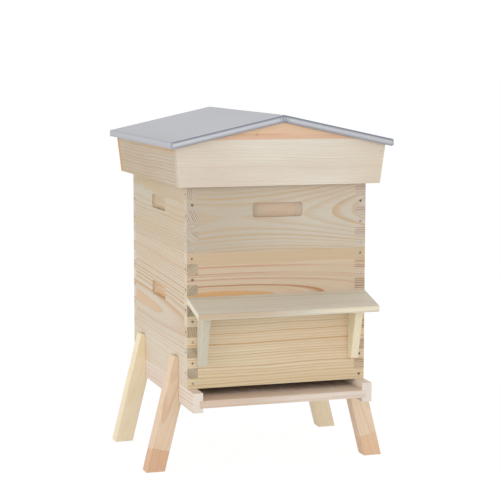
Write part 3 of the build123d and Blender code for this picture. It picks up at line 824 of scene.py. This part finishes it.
def frame_wood(bar, seed, bar_tone):
    """Pine whose grain lies on the top and bottom bars and stands on the end bars."""
    wood = Finish(bpy.data.materials.new(bar + "_pine"))
    lengthwise, sideways, upright, end_lying = board_axes(wood, bar, y_axis, x_axis)
    low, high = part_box(bar)
    below_lug = (high.z - low.z) / 2 - lug_thickness
    standing = (abs(lengthwise) > end_bar_from) * (abs(upright) < below_lug)
    end_standing = looks_along(wood, z_axis)
    along = lengthwise + (upright - lengthwise) * standing
    deep = upright + (lengthwise - upright) * standing
    on_end = end_lying + (end_standing - end_lying) * standing
    tree = dict(pith=(0.03, 0.05), tilt=0.03, ring=0.004)
    axes = (along, sideways, deep, on_end)
    colour, late, fibre = pine_colour(wood, axes, tree, bar_tone, seed, end_strength=0.4)
    dress(bar, pine_surface(wood, colour, late, fibre, on_end))


reddish = {"brood": (2, 4, 5, 7), "super": (3, 4, 6)}
for row, (box, red_numbers) in enumerate(reddish.items()):
    for number in range(1, frames_in_a_box + 1):
        bar_tone = red_bars if number in red_numbers else white_bars
        frame_wood(f"{box}_frame_{number:02d}", 80.0 + number + 20 * row, bar_tone)
print("frames", len(reddish) * frames_in_a_box)

# %% [markdown]
# ## Arrises
# A planed board has its edges broken by sandpaper, and that thin bright line is what tells wood from
# cardboard. The solids come as loose triangles, so three modifiers in a row do it: weld the points, join the
# flat triangles to whole faces, and bevel the edges that are left.

# %% Sanded edges
same_point = 1e-5
flat_angle = math.radians(1.0)
edge_angle = math.radians(30.0)
stout_arris = 0.0009
thin_arris = 0.0005
stout_pieces = ("leg", "bracket", "rail", "porch_board")
steel_pieces = ("leg_screws", "floor_nails", "brood_nails", "porch_screws", "super_nails", "roof_nails",
                "roof_sheet")


def sand(node, width):
    """Break a solid's edges over a width, which the mesh itself never sees."""
    solid = nodes[node]
    weld = solid.modifiers.new("weld", "WELD")
    weld.merge_threshold = same_point
    flatten = solid.modifiers.new("flatten", "DECIMATE")
    flatten.decimate_type = "DISSOLVE"
    flatten.angle_limit = flat_angle
    arris = solid.modifiers.new("arris", "BEVEL")
    arris.width = width
    arris.segments = 2
    arris.limit_method = "ANGLE"
    arris.angle_limit = edge_angle


for node in nodes:
    if node not in steel_pieces:
        sand(node, stout_arris if node.endswith(stout_pieces) else thin_arris)
print("sanded", sum(1 for node in nodes.values() if node.modifiers))

# %% [markdown]
# ## Surfaces from numpy
# Sheet metal and nail heads are easier to compute than to model: a profile is carried along a path, and the
# whole grid of points comes out of one array expression. Two helpers here draw smooth lines and give them
# a thickness, two join the points to faces, and one makes the finished object.

# %% Grids to meshes
crease_angle = math.radians(35.0)


def grid_faces(rows, columns):
    """Quads between neighbouring rows of a grid whose last column joins its first."""
    row = np.arange(rows - 1)[:, None] * columns
    column = np.arange(columns)[None, :]
    beside = (column + 1) % columns
    quads = np.stack([row + column, row + beside, row + columns + beside, row + columns + column], axis=-1)
    return quads.reshape(-1, 4)


def thin_shell(outer, inner):
    """Points and faces of sheet metal between two grids: each row runs out on one and back on the other."""
    loop = np.concatenate([outer, inner[:, ::-1]], axis=1)
    rows, columns = loop.shape[:2]
    step = np.arange(columns // 2 - 1)
    cap = np.stack([step, step + 1, columns - 2 - step, columns - 1 - step], axis=-1)
    return loop.reshape(-1, 3), [grid_faces(rows, columns), cap, cap + (rows - 1) * columns]


def piece(name, shells, body, material, replaced, marks=None):
    """One object from several closed shells, facing outwards, riding on a body in place of a solid.

    marks says for each point how much painted shade the metal gets there, or where a punch hit it."""
    faces = []
    start = 0
    for shell_points, groups in shells:
        for group in groups:
            faces += (group + start).tolist()
        start += len(shell_points)
    points = np.concatenate([shell_points for shell_points, groups in shells])
    mesh = bpy.data.meshes.new(name)
    mesh.from_pydata(points.tolist(), [], faces)
    work = bmesh.new()
    work.from_mesh(mesh)
    bmesh.ops.recalc_face_normals(work, faces=work.faces)
    work.to_mesh(mesh)
    work.free()
    if marks is not None:
        mesh.attributes.new("mark", "FLOAT", "POINT").data.foreach_set("value", marks.astype(np.float32))
    mesh.shade_smooth()
    mesh.set_sharp_from_angle(angle=crease_angle)
    mesh.materials.append(material)
    made = bpy.data.objects.new(name, mesh)
    scene.collection.objects.link(made)
    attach(made, body)
    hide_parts(replaced)
    print(name, "points", len(mesh.vertices), "faces", len(mesh.polygons))


def flowing(points, steps=5):
    """A smooth line past corner points: parabolas between the middles of the runs (a quadratic B-spline)."""
    points = np.asarray(points, float)
    middle = (points[:-1] + points[1:]) / 2
    t = np.linspace(0.0, 1.0, steps, endpoint=False)[None, :, None]
    start, corner, end = middle[:-1, None], points[1:-1, None], middle[1:, None]
    curve = (1 - t) ** 2 * start + 2 * t * (1 - t) * corner + t ** 2 * end
    return np.concatenate([points[:1], curve.reshape(-1, points.shape[1]), middle[-1:], points[-1:]])


def inward(path, thickness):
    """A path moved to its right by a thickness: along its tangent turned a quarter."""
    tangent = np.gradient(path, axis=0)
    tangent /= np.linalg.norm(tangent, axis=1, keepdims=True)
    return path + thickness * np.stack([tangent[:, 1], -tangent[:, 0]], axis=1)


print("grid of 3 by 4 gives", len(grid_faces(3, 4)), "quads")

# %% [markdown]
# ## Metal finishes
# The roof sheet is galvanised steel with a dull, even spangle; its creases, folds and pleats get painted
# shade, darker and bluer. The nails of the boxes are wire, some bright from the hammer and some dark. The
# nails of roof and floor were punched in and puttied over, so only a small dark dent is left of each. Noise
# can't know where metal was folded or struck, so the painted shade of the folds and the dents are read from a
# number that the mesh carries at each point.

# %% Zinc, wire and putty
zinc_grey = srgb(178, 179, 185)
zinc_pale = srgb(188, 189, 194)
zinc_painted_shade = srgb(118, 124, 138)
dent_brown = srgb(104, 88, 72)


def galvanised():
    """Dull zinc: a faint spangle in tone and gloss, with soft clouds, and painted shade where the mesh marks
    its folds.
    """
    zinc = Finish(bpy.data.materials.new("galvanised_sheet"))
    spangle = zinc.node("TexVoronoi", None, {"Vector": zinc.place(), "Scale": 160.0}, out="Color")
    crystal = zinc.reach(spangle, (0.33, 0.33, 0.33))
    cloud = zinc.noise(zinc.place(), scale=9.0, detail=3.0)
    scuff = zinc.noise(zinc.place(), scale=420.0, roughness=0.7)
    # Painted shade: darker and bluer where the mesh marks creases, folds and pleats.
    bent = zinc.node("Attribute", {"attribute_name": "mark"}, out="Fac")
    colour = zinc.mix(crystal * 0.5 + cloud * 0.5, zinc_grey, zinc_pale)
    colour = zinc.mix(bent, colour, zinc_painted_shade)
    return zinc.surface({"Base Color": colour, "Metallic": 0.35, "Roughness": crystal * 0.1 + 0.38,
                         "Normal": zinc.bump(scuff * 0.3 + cloud, strength=0.08, distance=0.0006)})


def nail_wire(name, dull, bright):
    """Wire nail with fine dents; how bright it is changes from nail to nail."""
    steel = Finish(bpy.data.materials.new(name))
    dent = steel.noise(steel.place(), scale=900.0)
    fresh = steel.smooth(steel.noise(steel.place(), scale=57.0, detail=0.0), 0.4, 0.6)
    colour = steel.mix(fresh, srgb(*dull), srgb(*bright))
    return steel.surface({"Base Color": colour, "Metallic": 0.8, "Roughness": dent * 0.2 + 0.32,
                          "Normal": steel.bump(dent, strength=0.5, distance=0.0003)})


def puttied(name, shade):
    """A nail punched in and puttied over in the wood's own colour; only the punch's dent stays dark."""
    putty = Finish(bpy.data.materials.new(name))
    dent = putty.smooth(putty.node("Attribute", {"attribute_name": "mark"}, out="Fac"), 0.4, 0.65)
    grit = putty.noise(putty.place(), scale=1400.0)
    colour = putty.dimmed(putty.mix(dent, srgb(*shade), dent_brown), grit * 0.1 + 0.95)
    return putty.surface({"Base Color": colour, "Metallic": dent * 0.6, "Roughness": grit * 0.2 + 0.55,
                          "Normal": putty.bump(grit, strength=0.2, distance=0.0002)})


zinc_finish = galvanised()
wire_finish = nail_wire("nail_wire", (104, 98, 92), (176, 176, 174))
gable_putty = puttied("gable_putty", (223, 213, 196))
rail_putty = puttied("rail_putty", (225, 209, 194))
for group in ("leg_screws", "porch_screws"):
    dress(group, wire_finish)
print("metal finishes", zinc_finish.name, wire_finish.name, "and putty", gable_putty.name, rail_putty.name)

# %% [markdown]
# ## The folded roof sheet
# One sheet is folded over both slopes. At the eaves it is bent down flat. At the gables it is bent down with
# a belly and a rolled foot, and where the two slopes meet, the belly had to be crimped into pleats. A profile
# across the roof, carried from gable to gable, gives the slopes; a lip profile carried along the slope gives
# each gable. The corner tabs are the eave's ends folded round behind the lip. Modelled by hand the pleats
# would be dozens of cuts; as a sine they are one line.

# %% Sheet measures
sheet_low, sheet_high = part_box("roof_sheet")
sheet_half_width = sheet_high.x
sheet_middle = (sheet_low.y + sheet_high.y) / 2
sheet_half_length = (sheet_high.y - sheet_low.y) / 2
ridge_height = sheet_high.z
eave_height = ridge_height - sheet_half_width * roof_pitch
sheet_thickness = 0.001
eave_fold = 0.0148
gable_bulge = 0.0035
skin_half_length = sheet_half_length - gable_bulge


def carried(line, length):
    """A section carried straight along the roof: every point of the line at every place of the length."""
    shape = (len(length), len(line))
    x, z = (np.broadcast_to(line[None, :, k], shape) for k in (0, 1))
    return np.stack([x, np.broadcast_to(length[:, None], shape), z], axis=-1)


def both_faces(painted_shades):
    """The painted shade of each point of a thin shell, for its outer and its inner face."""
    return np.concatenate([painted_shades, painted_shades[:, ::-1]], axis=1).ravel()


print("sheet", round(2 * sheet_half_width, 3), "by", round(2 * sheet_half_length, 3), "m")

# %% Slopes and eaves
eave_bend = 0.0028
ridge_bend = 0.007
slope_rows = 25


def slopes():
    """The section from eave to eave, carried from crease to crease.

    The third number of a section's corner is painted shade: how dark the metal is painted at its folds."""
    edge = -sheet_half_width
    corner = [(edge, eave_height - eave_fold, 0.3), (edge, eave_height - eave_bend, 0.0),
              (edge, eave_height, 0.5), (edge + eave_bend, eave_height + eave_bend * roof_pitch, 0.0),
              (-ridge_bend, ridge_height - ridge_bend * roof_pitch, 0.0), (0.0, ridge_height, 0.2)]
    corner += [(-x, z, sharp) for x, z, sharp in corner[-2::-1]]
    outline = flowing(corner)
    lining = inward(outline[:, :2], sheet_thickness)
    length = sheet_middle + np.linspace(-skin_half_length, skin_half_length, slope_rows)
    painted_shades = np.broadcast_to(outline[None, :, 2], (len(length), len(outline)))
    return thin_shell(carried(outline, length), carried(lining, length)), both_faces(painted_shades)


sheet_shells = [slopes()]
print("points on the slopes", len(sheet_shells[0][1]))

# %% Gable lips
# The third number of a lip corner is painted shade: darkest at the crease and the rolled foot, none on the
# belly.
lip_corners = [
    (-0.003, 0.0, 0.2), (-0.0006, 0.0, 0.7), (0.0001, -0.0004, 1.0), (0.0002, -0.0022, 1.0),
    (0.0026, -0.0046, 0.1), (0.0036, -0.0085, -0.1), (0.0028, -0.0128, 0.15), (0.0008, -0.0160, 0.5),
    (-0.0012, -0.0172, 0.8), (-0.0026, -0.0158, 0.8), (-0.0024, -0.0128, 0.8),
]
lip_thickness = 0.0009
lip_inset = 0.0035
lip_rows = 61
ridge_round = 0.0011
belly_start = 0.002
belly_run = 0.004
pleat_reach = 0.018
pleat_rows = 73
pleat_spread = 0.0105
pleat_slant = 0.35
pleat_width = 0.0058
pleat_start = 0.8
pleat_depth = 0.0024
pleat_shade = 220.0


def gable_lip(end):
    """The lip's section, out and down from the crease, carried along both slopes and pleated at the ridge.

    Pleats are a sine of the way off the ridge, slanted by the height, under a bell curve; they only pull the
    belly in."""
    section = flowing(lip_corners)
    lip = section[:, :2]
    hidden = inward(lip, lip_thickness)
    reach = sheet_half_width - lip_inset
    across = np.union1d(np.linspace(-reach, reach, lip_rows),
                        np.linspace(-pleat_reach, pleat_reach, pleat_rows))
    top = ridge_height - np.sqrt(across ** 2 + ridge_round ** 2) * roof_pitch
    bell = np.exp(-(across / pleat_spread) ** 2)
    slanted = np.abs(across)[:, None] + pleat_slant * lip[None, :, 1]
    wave = 0.5 + 0.5 * np.sin(slanted * 2 * math.pi / pleat_width + pleat_start)
    pleat = bell[:, None] * wave * pleat_depth
    depth = np.clip((-lip[:, 1] - belly_start) / belly_run, 0.0, 1.0)
    grids = []
    for line in (lip, hidden):
        out = line[None, :, 0] - pleat * depth[None, :]
        y = sheet_middle + end * (skin_half_length + out)
        z = top[:, None] + line[None, :, 1]
        grids.append(np.stack([np.broadcast_to(across[:, None], y.shape), y, z], axis=-1))
    # Painted shade: the corners' own, and more where the pleats pull in.
    painted_shades = section[None, :, 2] + pleat_shade * pleat
    return thin_shell(*grids), both_faces(np.clip(painted_shades, 0.0, 1.0))


sheet_shells += [gable_lip(end) for end in (-1, 1)]
print("points on a lip", len(sheet_shells[-1][1]))

# %% Corner tabs, and the whole sheet
tab_inset = 0.0002
tab_plan = ((0.0, -0.0006), (0.0, 0.0022), (-0.0012, 0.0026), (-0.011, 0.0024))
tab_thickness = 0.0008
tab_drops = np.array([0.0142, 0.0012])
tab_shade = 0.6


def corner_tab(side, end):
    """A strip of the eave's fold, bent round the corner and tucked in behind the lip: a plan carried down."""
    edge = sheet_half_width - tab_inset
    plan = flowing([(edge + x, y) for x, y in tab_plan])
    lining = inward(plan, -tab_thickness)
    heights = eave_height - tab_drops
    shape = (len(heights), len(plan))
    grids = []
    for line in (plan, lining):
        x = np.broadcast_to(side * line[None, :, 0], shape)
        y = np.broadcast_to(sheet_middle + end * (skin_half_length + line[None, :, 1]), shape)
        grids.append(np.stack([x, y, np.broadcast_to(heights[:, None], shape)], axis=-1))
    return thin_shell(*grids), both_faces(np.full(shape, tab_shade))


sheet_shells += [corner_tab(side, end) for side in (-1, 1) for end in (-1, 1)]
shells, painted_shades = zip(*sheet_shells)
piece("folded_roof_sheet", shells, "roof", zinc_finish, "roof_sheet",
      marks=np.concatenate(painted_shades))

# %% [markdown]
# ## Nail heads
# Each finger of a corner joint is nailed, the front and back boards' fingers from the front and back, the
# side boards' fingers from the sides. A head is a turned profile, a flat dome with a rounded rim. All heads
# of a box are one array: profile times angle, laid on each nail's place along its own, slightly crooked axis.
# The punched nails of roof and floor are the same heads under putty, with a mark in the middle for the dent.

# %% Turned heads
head_radius = 0.0031
head_sides = 16
head_lean = 0.04
head_profile = np.array([(0.0, 0.00030), (0.55, 0.00028), (0.86, 0.00016), (1.0, -0.0002), (0.97, -0.0009),
                         (0.45, -0.0011), (0.0, -0.0011)]) * np.array([head_radius, 1.0])
chance = np.random.default_rng(7)


def turned_heads(places, normals):
    """Points and faces of heads at places: radius times a circle across the axis, plus height along it.

    The axis is the nail's normal, leaning a few degrees at random."""
    places = np.asarray(places, float)
    axis = np.asarray(normals, float) + chance.normal(0.0, head_lean, places.shape)
    axis /= np.linalg.norm(axis, axis=1, keepdims=True)
    first = np.cross(axis, (0.0, 0.0, 1.0))
    first /= np.linalg.norm(first, axis=1, keepdims=True)
    second = np.cross(axis, first)
    turn = np.linspace(0.0, 2 * math.pi, head_sides, endpoint=False)
    circle = np.cos(turn)[None, :, None] * first[:, None] + np.sin(turn)[None, :, None] * second[:, None]
    radius, height = head_profile[None, 1:-1, None, :1], head_profile[None, 1:-1, None, 1:]
    rings = places[:, None, None] + radius * circle[:, None] + height * axis[:, None, None]
    poles = places[:, None] + head_profile[[0, -1], 1][None, :, None] * axis[:, None]
    points = np.concatenate([rings.reshape(len(places), -1, 3), poles], axis=1)
    rows = len(head_profile) - 2
    step = np.arange(head_sides)
    beside = (step + 1) % head_sides
    last = (rows - 1) * head_sides
    crown = np.stack([step, beside, np.full(head_sides, rows * head_sides)], axis=-1)
    foot = np.stack([last + step, last + beside, np.full(head_sides, rows * head_sides + 1)], axis=-1)
    first_point = (np.arange(len(places)) * points.shape[1])[:, None, None]
    faces = [(group[None] + first_point).reshape(-1, group.shape[1])
             for group in (grid_faces(rows, head_sides), crown, foot)]
    return points.reshape(-1, 3), faces


print("a head has", len(head_profile), "by", head_sides, "points")

# %% Nails of the boxes
nail_scatter = 0.001
box_fingers = {"brood": 13, "super": 7}


def every(*values):
    """All combinations of the values of several axes, one per row."""
    return np.stack(np.meshgrid(*values, indexing="ij"), axis=-1).reshape(-1, len(values))


def box_nails(box, fingers):
    """Places and normals of the nails in a box's four corners."""
    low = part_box(f"{box}_front_board")[0]
    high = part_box(f"{box}_back_board")[1]
    middle = (low.y + high.y) / 2
    finger_heights = low.z + (np.arange(fingers) + 0.5) * (high.z - low.z) / fingers
    ends = every((low.x + half_wall, high.x - half_wall), (low.y, high.y), finger_heights[::2])
    sides = every((low.x, high.x), (low.y + half_wall, high.y - half_wall), finger_heights[1::2])
    sides[:, 1:] += chance.normal(0.0, nail_scatter, (len(sides), 2))
    out_ends = np.sign(ends[:, 1:2] - middle) * np.array([[0.0, 1.0, 0.0]])
    out_sides = np.sign(sides[:, :1]) * np.array([[1.0, 0.0, 0.0]])
    return np.concatenate([ends, sides]), np.concatenate([out_ends, out_sides])


for box, fingers in box_fingers.items():
    heads = turned_heads(*box_nails(box, fingers))
    piece(f"{box}_nail_heads", [heads], f"{box}_box", wire_finish, f"{box}_nails")

# %% Punched nails of roof and floor
roof_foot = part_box("front_gable")[0].z
roof_flare = math.tan(math.radians(5.7))
roof_nail_rises = (0.035, 0.072)
roof_nail_side = 0.23
roof_nail_end = 0.275
rail_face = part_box("right_floor_rail")[1].x
rail_nails = ((-0.265, 0.1805), (0.2615, 0.1845))


def punched(heads, count):
    """1 at the middle of each head and 0 on all its other points."""
    marks = np.zeros((count, len(heads[0]) // count))
    marks[:, -2] = 1.0
    return marks.ravel()


sides, ends, rises = every((-1.0, 1.0), (-1.0, 1.0), roof_nail_rises).T
roof_places = np.stack([
    sides * (roof_nail_side + rises * roof_flare),
    sheet_middle + ends * (roof_nail_end + rises * roof_flare),
    roof_foot + rises,
], axis=-1)
roof_normals = ends[:, None] * np.array([0.0, 1.0, 0.0]) - np.array([0.0, 0.0, roof_flare])
roof_plugs = turned_heads(roof_places, roof_normals)
piece("roof_nail_heads", [roof_plugs], "roof", gable_putty, "roof_nails",
      marks=punched(roof_plugs, len(roof_places)))

floor_places = np.array([(side * rail_face, y, z) for side in (-1, 1) for y, z in rail_nails])
floor_normals = np.sign(floor_places) * np.array([1.0, 0.0, 0.0])
floor_plugs = turned_heads(floor_places, floor_normals)
piece("floor_nail_heads", [floor_plugs], "floor_stand", rail_putty, "floor_nails",
      marks=punched(floor_plugs, len(floor_places)))
